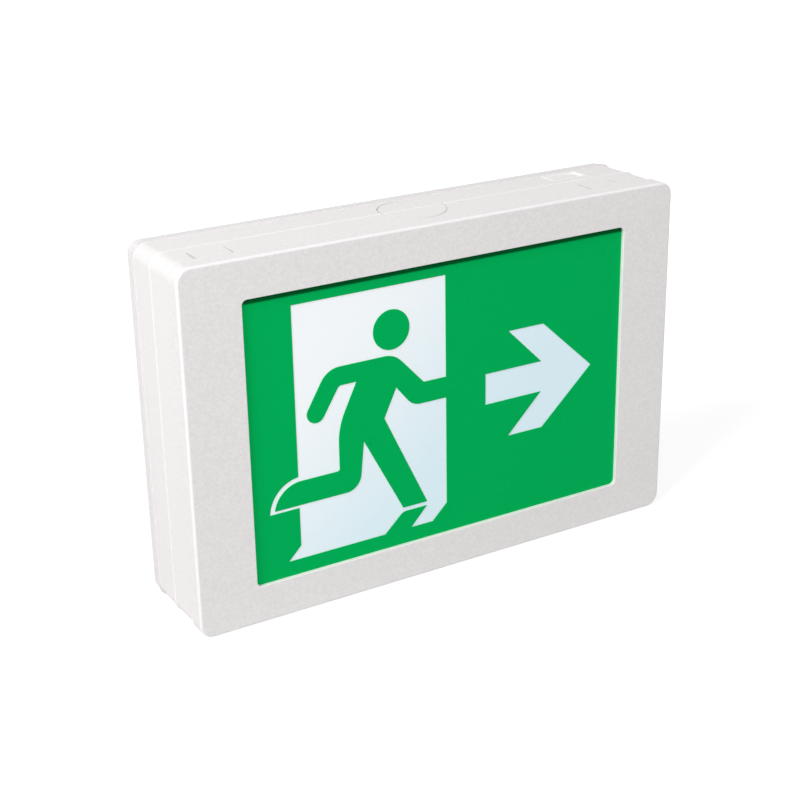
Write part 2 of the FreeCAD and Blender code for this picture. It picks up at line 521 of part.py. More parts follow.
def reflector_tray():
    """White tray that closes the light chamber and carries the lamp strips."""
    body = new_body("reflector_tray")
    wide = f"(2 * ({INSIDE} - size.tray_gap))"
    high = "(size.height - 2 * (size.frame_inset + size.frame_wall + size.tray_gap))"
    corner = "(size.corner_radius - size.frame_inset - size.frame_wall - size.tray_gap)"
    slab(body, "sheet", TRAY, "size.tray_thickness", rectangle(wide, high, corner))

    def rim_outline(sketch):
        wall = "size.tray_rim_wall"
        rounded_rectangle(sketch, wide, high, corner)
        rounded_rectangle(sketch, f"({wide} - 2 * {wall})", f"({high} - 2 * {wall})", f"({corner} - {wall})")

    slab(body, "rim", f"({TRAY} - size.tray_rim)", "size.tray_rim", rim_outline)
    for name, z in STRIPS.items():
        for k, x in enumerate(STRIP_SCREWS):
            rod(body, f"{name}_boss_{k}", "Y", (x, TRAY_BACK, z), "size.boss_radius", "size.boss_length")
            rod(body, f"{name}_boss_hole_{k}", "Y", (x, TRAY, z), "size.pilot_hole",
                "(size.tray_thickness + size.boss_length)", cut=True)
    for k, (x, z) in enumerate(TRAY_CORNERS):
        rod(body, f"corner_hole_{k}", "Y", (x, TRAY, z), "size.pilot_hole", "size.tray_thickness", cut=True)
    block(body, "lead_slot", (f"({LED_X} - size.lead_slot_width / 2)", TRAY,
                              f"({STRIPS['lower']} - size.led_strip_width / 2 - size.lead_slot_height)"),
          ("size.lead_slot_width", "size.tray_thickness", "size.lead_slot_height"), cut=True)


def lamp_strips():
    """Two long circuit boards with a row of lamps each."""
    for name, z in STRIPS.items():
        strip = new_body(f"{name}_led_board")
        block(strip, "strip",
              ("(-size.led_strip_length / 2)", STRIP_FRONT, f"({z} - size.led_strip_width / 2)"),
              ("size.led_strip_length", "size.led_strip_thickness", "size.led_strip_width"))
        for k, x in enumerate(STRIP_SCREWS):
            rod(strip, f"hole_{k}", "Y", (x, STRIP_FRONT, z), "size.pilot_hole",
                "size.led_strip_thickness", cut=True)
        row = new_body(f"{name}_leds")
        first = block(row, "lamp", ("(-(size.led_count - 1) / 2 * size.led_pitch - size.led_side / 2)",
                                    f"({STRIP_FRONT} - size.led_height)", f"({z} - size.led_side / 2)"),
                      ("size.led_side", "size.led_height", "size.led_side"))
        repeat = row.newObject("PartDesign::LinearPattern", "row")
        axis = next(o for o in row.Origin.OriginFeatures if o.Role == "X_Axis")
        repeat.Originals = [first]
        repeat.Direction = (axis, [""])
        repeat.Mode = "Spacing"
        repeat.setExpression("Offset", "size.led_pitch")
        repeat.setExpression("Occurrences", "size.led_count")
        row.Tip = repeat


def screws(label, axis, seats, length="size.screw_length"):
    """Pan-head screws: each seat is the point under the head, the shank runs along +axis."""
    body = new_body(label)
    for k, seat in enumerate(seats):
        head = list(seat)
        step = "XYZ".index(axis)
        head[step] = f"({seat[step]} - size.screw_head_depth)"
        rod(body, f"head_{k}", axis, head, "size.screw_head", "size.screw_head_depth")
        rod(body, f"shank_{k}", axis, seat, "size.screw_shank", length)


def charger_board():
    """Circuit board on the back plate with the parts of the charger."""
    body = new_body("charger_board")
    block(body, "sheet", (f"({BOARD_X} - size.board_length / 2)", BOARD_FACE,
                          f"({BOARD_Z} - size.board_height / 2)"),
          ("size.board_length", "size.board_thickness", "size.board_height"))
    for k, (x, z) in enumerate(BOARD_CORNERS):
        rod(body, f"hole_{k}", "Y", (x, BOARD_FACE, z), "size.pilot_hole", "size.board_thickness", cut=True)

    def on_board(x, z, depth, lengths):
        """Low corner and lengths of a box standing on the board, centred at x, z from its middle."""
        wide, high = lengths
        low = (f"({BOARD_X} + {x} - {wide} / 2)", f"({BOARD_FACE} - {depth})",
               f"({BOARD_Z} + {z} - {high} / 2)")
        return low, (wide, depth, high)

    def raised(x, z, low_y, depth, lengths):
        """Box as on_board, but starting low_y off the board."""
        low, size = on_board(x, z, f"({low_y} + {depth})", lengths)
        return low, (size[0], depth, size[2])

    core = new_body("transformer_core")
    block(core, "plate", *raised("size.coil_x", "size.coil_z", "size.core_lift", "size.core_depth",
                                 ("size.core_side", "size.core_height")))
    winding = new_body("transformer_winding")
    block(winding, "base", *on_board("size.coil_x", "size.coil_z", "size.bobbin_base",
                                     ("size.core_side", "size.core_height")))
    block(winding, "coil", *raised("size.coil_x", "size.coil_z", "size.bobbin_base",
                                   "(size.core_lift * 2 + size.core_depth - 2 * size.bobbin_base)",
                                   ("(size.core_leg + 2 * size.coil_wall)", "size.coil_height")))
    block(winding, "leg_space", *raised("size.coil_x", "size.coil_z", "(size.core_lift - size.part_gap)",
                                        "(size.core_depth + 2 * size.part_gap)",
                                        ("(size.core_leg + 2 * size.part_gap)", "size.core_height")),
          cut=True)
    space = "(size.coil_wall + 2 * size.part_gap)"
    for name, sign in (("left", "-"), ("right", "+")):
        middle = f"(size.coil_x {sign} (size.core_leg / 2 + {space} / 2))"
        block(core, f"{name}_window", *raised(middle, "size.coil_z", "size.core_lift", "size.core_depth",
                                              (space, "(size.coil_height + 2 * size.part_gap)")), cut=True)
    caps = new_body("bulk_capacitors")
    for k, x in enumerate(("size.can_x", "(size.can_x + size.can_pitch)")):
        rod(caps, f"can_{k}", "Y", (f"({BOARD_X} + {x})", f"({BOARD_FACE} - size.can_length)",
                                    f"({BOARD_Z} + size.can_z)"), "size.can_radius", "size.can_length")
    film = new_body("film_capacitor")
    block(film, "case", *on_board("size.film_x", "size.film_z", "size.film_depth",
                                  ("size.film_length", "size.film_width")))
    relay = new_body("changeover_relay")
    block(relay, "case", *on_board("size.relay_x", "size.relay_z", "size.relay_depth",
                                   ("size.relay_length", "size.relay_width")))
    fuse = new_body("fuse")
    rod(fuse, "case", "Y", (f"({BOARD_X} + size.fuse_x)", f"({BOARD_FACE} - size.fuse_length)",
                            f"({BOARD_Z} + size.fuse_z)"), "size.fuse_radius", "size.fuse_length")
    block_body = new_body("supply_terminal")
    length = "(size.terminal_count * size.terminal_pitch)"
    block(block_body, "case", *on_board("size.terminal_x", "size.terminal_z", "size.terminal_depth",
                                        (length, "size.terminal_width")))
    heads = []
    for k in range(int(value("size.terminal_count"))):
        middle = (f"({BOARD_X} + size.terminal_x"
                  f" + ({k} - (size.terminal_count - 1) / 2) * size.terminal_pitch)")
        front = f"({BOARD_FACE} - size.terminal_depth)"
        rod(block_body, f"screw_well_{k}", "Y", (middle, front, f"({BOARD_Z} + size.terminal_z)"),
            "(size.terminal_screw + size.part_gap)", "size.terminal_well", cut=True)
        rod(block_body, f"wire_mouth_{k}", "Z",
            (middle, f"({BOARD_FACE} - size.terminal_mouth_y)",
             f"({BOARD_Z} + size.terminal_z - size.terminal_width / 2)"),
            "size.terminal_mouth", "size.terminal_mouth_depth", cut=True)
        heads.append((middle, f"({front} + size.terminal_well - size.terminal_screw_depth)",
                      f"({BOARD_Z} + size.terminal_z)"))
    clamp = new_body("terminal_screws")
    for k, seat in enumerate(heads):
        rod(clamp, f"screw_{k}", "Y", seat, "size.terminal_screw", "size.terminal_screw_depth")
    for name, x, z in (("battery", "size.battery_socket_x", "size.battery_socket_z"),
                       ("led", "size.led_socket_x", "size.led_socket_z"),
                       ("switch", "size.switch_socket_x", "size.switch_socket_z")):
        socket = new_body(f"{name}_socket")
        block(socket, "case", *on_board(x, z, "size.socket_depth",
                                        ("size.socket_length", "size.socket_width")))
        inner = ("(size.socket_length - 2 * size.socket_wall)", "(size.socket_width - 2 * size.socket_wall)")
        block(socket, "mouth", *raised(x, z, "size.socket_wall", "size.socket_depth", inner), cut=True)
        plug = new_body(f"{name}_plug")
        fit = [f"({side} - 2 * size.part_gap)" for side in inner]
        block(plug, "case", *raised(x, z, "size.socket_wall", "size.plug_depth", fit))


def battery():
    """Shrink-wrapped row of cells, held down by a strap."""
    body = new_body("battery_pack")
    start = f"({BATTERY_X} - size.cell_length / 2)"
    centre_y = f"({PLATE} - size.cell_radius)"
    for k in range(int(value("size.cell_count"))):
        z = f"({BOARD_Z} + ({k} - (size.cell_count - 1) / 2) * 2 * size.cell_radius)"
        rod(body, f"cell_{k}", "X", (start, centre_y, z), "size.cell_radius", "size.cell_length")
    block(body, "wrap", (start, f"({PLATE} - size.cell_radius * (1 + size.wrap_share))",
                         f"({BOARD_Z} - {PACK_HALF} + size.cell_radius)"),
          ("size.cell_length", "(2 * size.wrap_share * size.cell_radius)",
           f"(2 * ({PACK_HALF} - size.cell_radius))"))
    strap = new_body("battery_strap")
    low_x = f"({BATTERY_X} - size.strap_width / 2)"
    top_y = f"({PLATE} - 2 * size.cell_radius - size.strap_gap - size.strap_thickness)"
    reach = f"({PACK_HALF} + size.strap_gap)"
    block(strap, "bridge", (low_x, top_y, f"({BOARD_Z} - {reach} - size.strap_thickness)"),
          ("size.strap_width", "size.strap_thickness", f"(2 * ({reach} + size.strap_thickness))"))
    feet_y = f"({BOARD} - size.strap_thickness)"
    for name, leg_z, foot_z in (
            ("lower", f"({BOARD_Z} - {reach} - size.strap_thickness)",
             f"({BOARD_Z} - {reach} - size.strap_thickness - size.strap_foot)"),
            ("upper", f"({BOARD_Z} + {reach})", f"({BOARD_Z} + {reach})")):
        block(strap, f"{name}_leg", (low_x, top_y, leg_z),
              ("size.strap_width", f"({BOARD} - {top_y})", "size.strap_thickness"))
        block(strap, f"{name}_foot", (low_x, feet_y, foot_z),
              ("size.strap_width", "size.strap_thickness", "(size.strap_foot + size.strap_thickness)"))
    for k, (x, z) in enumerate(STRAP_FEET):
        rod(strap, f"hole_{k}", "Y", (x, feet_y, z), "size.pilot_hole", "size.strap_thickness", cut=True)


def test_switch():
    """Push-to-test switch and pilot lamp on their own small board."""
    board = new_body("switch_board")
    block(board, "sheet", (f"({SWITCH_BOARD} - size.switch_board_thickness)",
                           f"({SWITCH_Y} - size.switch_board_width / 2)", SWITCH_BOARD_LOW),
          ("size.switch_board_thickness", "size.switch_board_width", "size.switch_board_height"))
    for name, z in SWITCH_SCREWS:
        rod(board, f"{name}_hole", "X", (f"({SWITCH_BOARD} - size.switch_board_thickness)", SWITCH_Y, z),
            "size.pilot_hole", "size.switch_board_thickness", cut=True)
    case = new_body("test_switch")
    half = "(size.switch_side / 2)"
    block(case, "case", (SWITCH_BOARD, f"({SWITCH_Y} - {half})", f"({SWITCH_Z} - {half})"),
          ("size.switch_depth", "size.switch_side", "size.switch_side"))
    stem_end = f"({INSIDE} - size.button_gap - size.flange_thickness - size.stem_length)"
    bore_end = f"({stem_end} - size.button_travel - size.switch_gap)"
    rod(case, "bore", "X", (bore_end, SWITCH_Y, SWITCH_Z), "(size.stem_radius + size.stem_gap)",
        f"({SWITCH_FACE} - {bore_end} + size.overlap)", cut=True)
    button = new_body("test_button")
    flange_back = f"({INSIDE} - size.button_gap - size.flange_thickness)"
    button_end = "(size.width / 2 - size.frame_inset + size.button_proud)"
    rod(button, "stem", "X", (stem_end, SWITCH_Y, SWITCH_Z), "size.stem_radius", "size.stem_length")
    rod(button, "flange", "X", (flange_back, SWITCH_Y, SWITCH_Z), "size.flange_radius",
        "size.flange_thickness")
    rod(button, "cap", "X", (flange_back, SWITCH_Y, SWITCH_Z), "size.button_radius",
        f"({button_end} - {flange_back})")
    bevel_edges(button, "crown", on_plane("X", button_end), "size.button_proud")
    lamp = new_body("pilot_lamp")
    lamp_tip = "(size.width / 2 - size.frame_inset + size.lamp_proud)"
    rod(lamp, "lens", "X", (f"({INSIDE} - size.lamp_length)", SWITCH_Y, PILOT_Z), "size.lamp_radius",
        f"({lamp_tip} - {INSIDE} + size.lamp_length)")
    for name, sign in (("long", "-"), ("short", "+")):
        rod(lamp, f"{name}_leg", "X", (SWITCH_BOARD, f"({SWITCH_Y} {sign} size.leg_pitch / 2)", PILOT_Z),
            "size.leg_radius", f"({INSIDE} - size.lamp_length - {SWITCH_BOARD})")
    bevel_edges(lamp, "dome", on_plane("X", lamp_tip), "size.lamp_proud")


def lead(label, radius, routes):
    """Insulated leads: each follows straight runs joined by arcs as wide as the runs allow."""
    radius = value(radius)
    tubes = []
    for route in routes:
        points = [FreeCAD.Vector(*(value(str(e)) for e in point)) for point in route]
        edges, last = [], points[0]
        for before, here, after in zip(points, points[1:], points[2:]):
            back, ahead = before - here, after - here
            reach = value("size.bend_share") * min(back.Length, ahead.Length)
            half = back.getAngle(ahead) / 2
            back, ahead = back.normalize(), ahead.normalize()
            bend = reach * math.tan(half)
            centre = here + (back + ahead).normalize() * (bend / math.sin(half))
            first, final = here + back * reach, here + ahead * reach
            middle = centre + (here - centre).normalize() * bend
            print(f"{label}: bend radius {bend:.1f}")
            edges += [Part.LineSegment(last, first).toShape(), Part.Arc(first, middle, final).toShape()]
            last = final
        edges.append(Part.LineSegment(last, points[-1]).toShape())
        path = Part.Wire(edges)
        along = (points[1] - points[0]).normalize()
        section = Part.Wire(Part.Circle(points[0], along, radius).toShape())
        tube = path.makePipeShell([section], True, False)
        expected = math.pi * radius ** 2 * path.Length
        print(f"{label}: volume {tube.Volume:.1f}, section times length {expected:.1f}")
        tubes.append(tube)
    feature = doc.addObject("Part::Feature", label)
    feature.Shape = tubes[0] if len(tubes) == 1 else Part.makeCompound(tubes)
    pieces.append(feature)


def leads():
    """Sleeved two-core cables to the plugs on the charger board, and the wires between the lamp strips."""
    plug_y = f"({BOARD_FACE} - size.socket_wall - size.plug_depth)"
    over_y = f"({plug_y} - size.cable_loop)"

    pack_x = f"({BATTERY_X} + size.cell_length / 2)"
    pack_y = f"({PLATE} - size.cell_radius)"
    plug_x = f"({BOARD_X} + size.battery_socket_x)"
    plug_z = f"({BOARD_Z} + size.battery_socket_z)"
    span = f"({plug_x} - {pack_x})"
    lead("battery_lead", "size.cable_radius",
         [[(pack_x, pack_y, BOARD_Z),
           (f"({pack_x} + {span} / 3)", pack_y, BOARD_Z),
           (f"({plug_x} - {span} / 3)", over_y, plug_z),
           (plug_x, over_y, plug_z),
           (plug_x, plug_y, plug_z)]])

    pads_y = f"({STRIP_FRONT} - size.cable_radius - size.pad_gap)"
    pin_z = f"({BOARD_Z} + size.led_socket_z)"
    lead("led_lead", "size.cable_radius",
         [[(LED_X, pads_y, f"({STRIPS['lower']} - size.pad_inset)"), (LED_X, pads_y, pin_z),
           (LED_X, plug_y, pin_z)]])

    link_y = f"({STRIP_FRONT} - size.wire_radius - size.pad_gap)"
    routes = []
    for sign in "-+":
        x = f"(size.led_strip_length / 2 - size.link_edge {sign} size.wire_pitch / 2)"
        routes.append([(x, link_y, f"({STRIPS['lower']} + size.pad_inset)"),
                       (x, link_y, f"({STRIPS['upper']} - size.pad_inset)")])
    lead("strip_link_lead", "size.wire_radius", routes)

    joint_x = f"({SWITCH_BOARD} - size.switch_board_thickness)"
    joint_z = f"(({SWITCH_Z} + {PILOT_Z}) / 2)"
    plug_x = f"({BOARD_X} + size.switch_socket_x)"
    plug_z = f"({BOARD_Z} + size.switch_socket_z)"
    span = f"({joint_x} - {plug_x})"
    lead("switch_lead", "size.cable_radius",
         [[(joint_x, SWITCH_Y, joint_z),
           (f"({joint_x} - {span} / 3)", SWITCH_Y, joint_z),
           (f"({plug_x} + {span} / 3)", over_y, plug_z),
           (plug_x, over_y, plug_z),
           (plug_x, plug_y, plug_z)]])


front_cover()
legend_film()
legend_panel()
housing_frame()
back_plate()
reflector_tray()
lamp_strips()
charger_board()
battery()
test_switch()
leads()
screws("tray_screws", "Y", [(x, TRAY, z) for x, z in TRAY_CORNERS])
screws("strip_screws", "Y", [(x, STRIP_FRONT, z) for z in STRIPS.values() for x in STRIP_SCREWS])
screws("board_screws", "Y", [(x, BOARD_FACE, z) for x, z in BOARD_CORNERS], "size.short_screw")
screws("strap_screws", "Y", [(x, f"({BOARD} - size.strap_thickness)", z) for x, z in STRAP_FEET],
       "size.short_screw")
screws("switch_board_screws", "X",
       [(f"({SWITCH_BOARD} - size.switch_board_thickness)", SWITCH_Y, z) for _, z in SWITCH_SCREWS])
doc.recompute()

os.makedirs("parts", exist_ok=True)
for thing in doc.Objects:
    if {"Invalid", "Error"} & set(thing.State):
        raise RuntimeError(f"{thing.Label} failed: {thing.State}")
for piece in pieces:
    if piece.Shape.isNull() or not piece.Shape.isValid() or not piece.Shape.Solids:
        raise RuntimeError(f"{piece.Label} has no valid solid")
    piece.Shape.exportStep(os.path.join("parts", piece.Label + ".step"))
    print(f"{piece.Label}: {len(piece.Shape.Solids)} solids, {piece.Shape.Volume:.1f} mm3")
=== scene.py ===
import json
import math

import bmesh
import bpy
import numpy as np
from mathutils import Matrix, Vector

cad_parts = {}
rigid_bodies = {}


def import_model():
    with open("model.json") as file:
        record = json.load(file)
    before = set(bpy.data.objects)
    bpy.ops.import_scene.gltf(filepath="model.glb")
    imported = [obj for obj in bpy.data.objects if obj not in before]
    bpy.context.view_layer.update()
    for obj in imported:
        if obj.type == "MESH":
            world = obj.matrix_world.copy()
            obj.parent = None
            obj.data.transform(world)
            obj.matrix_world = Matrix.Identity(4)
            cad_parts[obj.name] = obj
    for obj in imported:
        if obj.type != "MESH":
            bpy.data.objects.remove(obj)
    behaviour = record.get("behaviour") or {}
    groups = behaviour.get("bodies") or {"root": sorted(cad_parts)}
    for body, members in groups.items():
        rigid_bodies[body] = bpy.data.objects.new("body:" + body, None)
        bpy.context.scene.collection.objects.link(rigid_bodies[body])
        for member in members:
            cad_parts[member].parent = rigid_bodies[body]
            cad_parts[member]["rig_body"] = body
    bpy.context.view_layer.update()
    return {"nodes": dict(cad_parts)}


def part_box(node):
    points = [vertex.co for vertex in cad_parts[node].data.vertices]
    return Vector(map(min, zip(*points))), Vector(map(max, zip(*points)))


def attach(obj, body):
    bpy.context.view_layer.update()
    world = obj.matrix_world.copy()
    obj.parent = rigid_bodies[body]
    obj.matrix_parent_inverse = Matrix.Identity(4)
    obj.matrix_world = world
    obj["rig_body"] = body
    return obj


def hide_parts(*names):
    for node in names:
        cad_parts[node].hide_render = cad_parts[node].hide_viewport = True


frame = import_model()
nodes = frame["nodes"]

# ---- Studio -------------------------------------------------------------------------------------
# The sign stands on a sweep of white card in a white room. A large soft lamp high on its left
# lights the end and the top; a weaker one in front of it lights the legend.


def linear(code, alpha=1.0):
    """A colour written #RRGGBB in sRGB, as linear light: v / 12.92 up to 0.04045, and above that
    ((v + 0.055) / 1.055) to the power 2.4."""
    parts = np.array([int(code[i:i + 2], 16) for i in (1, 3, 5)]) / 255
    light = np.where(parts <= 0.04045, parts / 12.92, ((parts + 0.055) / 1.055) ** 2.4)
    return (*(float(v) for v in light), alpha)


def add_node(tree, kind, links=None, values=None, **settings):
    """One node: links maps an input to the socket that feeds it, values an input to its number."""
    node = tree.nodes.new(kind)
    for name, setting in settings.items():
        setattr(node, name, setting)
    for name, value in (values or {}).items():
        node.inputs[name].default_value = value
    for name, source in (links or {}).items():
        tree.links.new(source, node.inputs[name])
    return node


def seen_directly(tree):
    """1 for camera, glossy and transmitted rays, so that those see the room as plain white."""
    ray = add_node(tree, "ShaderNodeLightPath")
    seen = ray.outputs["Is Camera Ray"]
    for other in ("Is Glossy Ray", "Is Transmission Ray"):
        seen = add_node(tree, "ShaderNodeMath", {0: seen, 1: ray.outputs[other]},
                        operation="MAXIMUM").outputs[0]
    return seen


scene = bpy.context.scene
scene.view_settings.view_transform = "Standard"

EYE = Vector((-0.46413, -0.76425, 0.45548))
RIGHTWARD = Vector((0.856674, -0.51557, -0.017254))
DOWNWARD = Vector((-0.204631, -0.308933, -0.928809))
FORWARD = Vector((0.473536, 0.799217, -0.370157))
camera = bpy.data.objects.new("camera", bpy.data.cameras.new("camera"))
scene.collection.objects.link(camera)
camera.data.lens = 70.8
camera.data.sensor_width = 36.0
camera.data.clip_start = 0.01
camera.matrix_world = Matrix.Translation(EYE) @ Matrix(
    (RIGHTWARD, -DOWNWARD, -FORWARD)).transposed().to_4x4()
scene.camera = camera

WHITE = linear("#FFFFFF")
world = bpy.data.worlds.new("white_room")
world.use_nodes = True
scene.world = world
room = world.node_tree
room.nodes.clear()
walls = add_node(room, "ShaderNodeBackground", None, {"Color": WHITE, "Strength": 0.47})
plain_white = add_node(room, "ShaderNodeBackground", None, {"Color": WHITE, "Strength": 1.0})
both = add_node(room, "ShaderNodeMixShader", {0: seen_directly(room), 1: walls.outputs[0],
                                              2: plain_white.outputs[0]})
add_node(room, "ShaderNodeOutputWorld", {"Surface": both.outputs[0]})


def soft_lamp(name, place, aim, side, power):
    """A square area lamp of that side in metres at place, facing aim."""
    lamp = bpy.data.objects.new(name, bpy.data.lights.new(name, "AREA"))
    lamp.data.shape = "SQUARE"
    lamp.data.size = side
    lamp.data.energy = power
    lamp.location = place
    lamp.rotation_euler = (Vector(aim) - Vector(place)).to_track_quat("-Z", "Y").to_euler()
    scene.collection.objects.link(lamp)


soft_lamp("high_left", (-1.75, -0.62, 1.9), (0, 0, 0.1), 0.9, 35.5)
soft_lamp("front", (-0.9, -1.7, 1.2), (0, 0, 0.1), 0.9, 10.5)


def mesh_object(name, points, faces, smooth=True):
    """An object at the origin from an array of points in metres and a list of faces."""
    mesh = bpy.data.meshes.new(name)
    mesh.from_pydata(np.asarray(points).reshape(-1, 3).tolist(), [], faces)
    mesh.update()
    if smooth:
        mesh.shade_smooth()
    made = bpy.data.objects.new(name, mesh)
    scene.collection.objects.link(made)
    return made


# The sweep lies a fifth of a millimetre below the sign. Its own faint glow keeps it white, and
# grows from 0.45 m to 1.3 m away, where the lamps no longer reach.
SWEEP_HALF, SWEEP_DROP = 6, 0.0002
corners = [(x * SWEEP_HALF, y * SWEEP_HALF, -SWEEP_DROP)
           for x, y in ((-1, -1), (1, -1), (1, 1), (-1, 1))]
sweep = mesh_object("sweep", corners, [(0, 1, 2, 3)], smooth=False)
# Matt card: a plain grey-white that takes the shadow, and that a camera sees as white.
card = bpy.data.materials.new("matt_white_card")
card.use_nodes = True
tree = card.node_tree
tree.nodes.clear()
matt = add_node(tree, "ShaderNodeBsdfDiffuse", None, {"Color": linear("#D0D0D0")})
where = add_node(tree, "ShaderNodeTexCoord").outputs["Object"]
away = add_node(tree, "ShaderNodeVectorMath", {0: where}, operation="LENGTH")
rise = add_node(tree, "ShaderNodeMapRange", {"Value": away.outputs["Value"]},
                {"From Min": 0.45, "From Max": 1.3, "To Min": 0.62, "To Max": 1.1})
glow = add_node(tree, "ShaderNodeEmission", {"Strength": rise.outputs[0]}, {"Color": WHITE})
lit = add_node(tree, "ShaderNodeAddShader", {0: matt.outputs[0], 1: glow.outputs[0]})
shown = add_node(tree, "ShaderNodeMixShader", {0: seen_directly(tree), 1: matt.outputs[0],
                                               2: lit.outputs[0]})
add_node(tree, "ShaderNodeOutputMaterial", {"Surface": shown.outputs[0]})
sweep.data.materials.append(card)

# ---- Front cover --------------------------------------------------------------------------------
# A shallow picture-frame lid, injection-moulded in warm light grey ABS/PC with a spark-eroded
# face. It pushes over the housing frame, and four hooks inside it snap under the frame's rim.


def finished(node, edges=(), sharp=30.0):
    """A CAD node made ready to show, as a merged copy that replaces it. Edges that turn by more
    than sharp degrees stay crisp, and some are rounded: each entry of edges is (test, radius in
    mm), and test takes the two ends of every edge as an array (edges, 2, 3) in mm. Where edges
    are rounded, the flat triangles are first joined into whole faces."""
    copy = bpy.data.objects.new(node + "_finish", nodes[node].data.copy())
    scene.collection.objects.link(copy)
    work = bmesh.new()
    work.from_mesh(copy.data)
    same_place = 2e-6
    bmesh.ops.remove_doubles(work, verts=work.verts, dist=same_place)
    bmesh.ops.dissolve_degenerate(work, edges=work.edges, dist=same_place)
    if edges:
        bmesh.ops.dissolve_limit(work, angle_limit=math.radians(0.3), verts=work.verts,
                                 edges=work.edges)
    weight = work.edges.layers.float.new("bevel_weight_edge")
    turning = [edge for edge in work.edges
               if len(edge.link_faces) == 2 and edge.calc_face_angle() > math.radians(sharp)]
    ends = np.array([[tuple(v.co) for v in edge.verts] for edge in turning]) * 1000
    largest = max((radius for _, radius in edges), default=1.0)
    share = np.zeros(len(turning))
    for test, radius in edges:
        share[test(ends)] = radius / largest
    for face in work.faces:
        face.smooth = True
    for edge, amount in zip(turning, share):
        edge.smooth = bool(amount)
        edge[weight] = float(amount)
    work.to_mesh(copy.data)
    work.free()
    for name in ("custom_normal", "UVMap"):
        if name in copy.data.attributes:
            copy.data.attributes.remove(copy.data.attributes[name])
    copy.data.materials.clear()
    if edges:
        round_off = copy.modifiers.new("edge_radius", "BEVEL")
        round_off.width = largest / 1000
        round_off.segments = 3
        round_off.limit_method = "WEIGHT"
        round_off.use_clamp_overlap = False
        round_off.miter_outer = "MITER_ARC"
    level = copy.modifiers.new("flat_faces_stay_flat", "WEIGHTED_NORMAL")
    level.mode = "FACE_AREA"
    level.weight = 100
    level.keep_sharp = True
    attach(copy, nodes[node]["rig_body"])
    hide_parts(node)
    return copy


def near_box(low, high, reach=0.3):
    """Test for finished: both ends lie inside the box from low to high, in mm, widened by reach."""
    low, high = np.array(low) - reach, np.array(high) + reach
    return lambda ends: ((ends >= low) & (ends <= high)).all(axis=(1, 2))


def rim(plane, half_width, height, inset, reach=0.12):
    """Test for finished: both ends lie on the plane Y = plane and within inset of the outline
    that is 2 * half_width by height, in mm."""
    def test(ends):
        x, y, z = np.moveaxis(ends, -1, 0)
        out = np.maximum(np.abs(x) - half_width, np.abs(z - height / 2) - height / 2)
        return ((np.abs(y - plane) < reach) & (out > -inset) & (out < reach)).all(axis=1)
    return test


def moulded(name, base, deep, grain_mm, rough, bump_mm, ior=1.5):
    """A moulded plastic. Grain of that pitch and depth in millimetres raises the face, makes it
    duller in places and, with a slow cloud, takes the base colour towards deep."""
    material = bpy.data.materials.new(name)
    material.use_nodes = True
    tree = material.node_tree
    tree.nodes.clear()
    where = add_node(tree, "ShaderNodeTexCoord").outputs["Object"]
    cloud = add_node(tree, "ShaderNodeTexNoise", {"Vector": where}, {"Scale": 14.0, "Detail": 2.0})
    grain = add_node(tree, "ShaderNodeTexNoise", {"Vector": where},
                     {"Scale": 1000 / grain_mm, "Detail": 2.0, "Roughness": 0.6})
    spread = add_node(tree, "ShaderNodeMapRange", {"Value": grain.outputs[0]},
                      {"From Min": 0.35, "From Max": 0.65})
    mottle = add_node(tree, "ShaderNodeMix", {2: cloud.outputs[0], 3: spread.outputs[0]}, {0: 0.75})
    tint = add_node(tree, "ShaderNodeMix", {0: mottle.outputs[0]}, data_type="RGBA")
    tint.inputs[6].default_value = linear(base)
    tint.inputs[7].default_value = linear(deep)
    raised = add_node(tree, "ShaderNodeBump", {"Height": grain.outputs[0]},
                      {"Strength": 1.0, "Distance": bump_mm / 1000})
    dull = add_node(tree, "ShaderNodeMapRange", {"Value": grain.outputs[0]},
                    {"To Min": rough - 0.05, "To Max": rough + 0.07})
    skin = add_node(tree, "ShaderNodeBsdfPrincipled",
                    {"Base Color": tint.outputs[2], "Normal": raised.outputs[0],
                     "Roughness": dull.outputs[0]}, {"IOR": ior})
    add_node(tree, "ShaderNodeOutputMaterial", {"Surface": skin.outputs[0]})
    return material


# ABS/PC with a spark-eroded grain: a matt, faintly mottled light grey. The real grain is about
# 0.3 mm wide and is drawn at 1.5 mm, so that it shows.
GRAIN_WIDTH, GRAIN_ROUGHNESS, GRAIN_DEPTH = 1.5, 0.52, 0.09
housing_plastic = moulded("grained_abs_light_grey", "#F3EFEF", "#E8E4E5",
                          GRAIN_WIDTH, GRAIN_ROUGHNESS, GRAIN_DEPTH)
cover_low, cover_high = (1000 * np.array(corner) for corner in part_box("front_cover"))
half_width, height = cover_high[0], cover_high[2]
# Millimetres. The film reaches past the window by its margin on every side.
COVER_DEPTH, FILM_MARGIN = 12.5, 7.0
WINDOW_EDGE, REAR_EDGE, REAR_BAND, FRONT_RADIUS = 0.45, 0.35, 9.0, 1.6
film_low, film_high = (1000 * np.array(corner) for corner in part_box("legend_film"))
WINDOW = (film_high - film_low)[[0, 2]] / 2 - FILM_MARGIN
front_cover = finished("front_cover", [
    (near_box((-WINDOW[0], cover_low[1], height / 2 - WINDOW[1]),
              (WINDOW[0], cover_low[1], height / 2 + WINDOW[1])), WINDOW_EDGE),
    (rim(cover_low[1] + COVER_DEPTH, half_width, height, REAR_BAND), REAR_EDGE)])
front_cover.data.materials.append(housing_plastic)

# The grain stops short of the cover's edges: the front radius, the window's walls and the rear rim
# were left polished in the mould, and are coloured lighter as a painted highlight, so that they
# show as thin near-white lines.
polished_with_painted_highlight = moulded("polished_abs_edge_painted_highlight", "#F7F5F5", "#F3F1F1", 2.0, 0.3, 0.001)
front_cover.data.materials.append(polished_with_painted_highlight)
# The rounded edges take the polished finish with its lighter painted highlight.
front_cover.modifiers["edge_radius"].material = 1


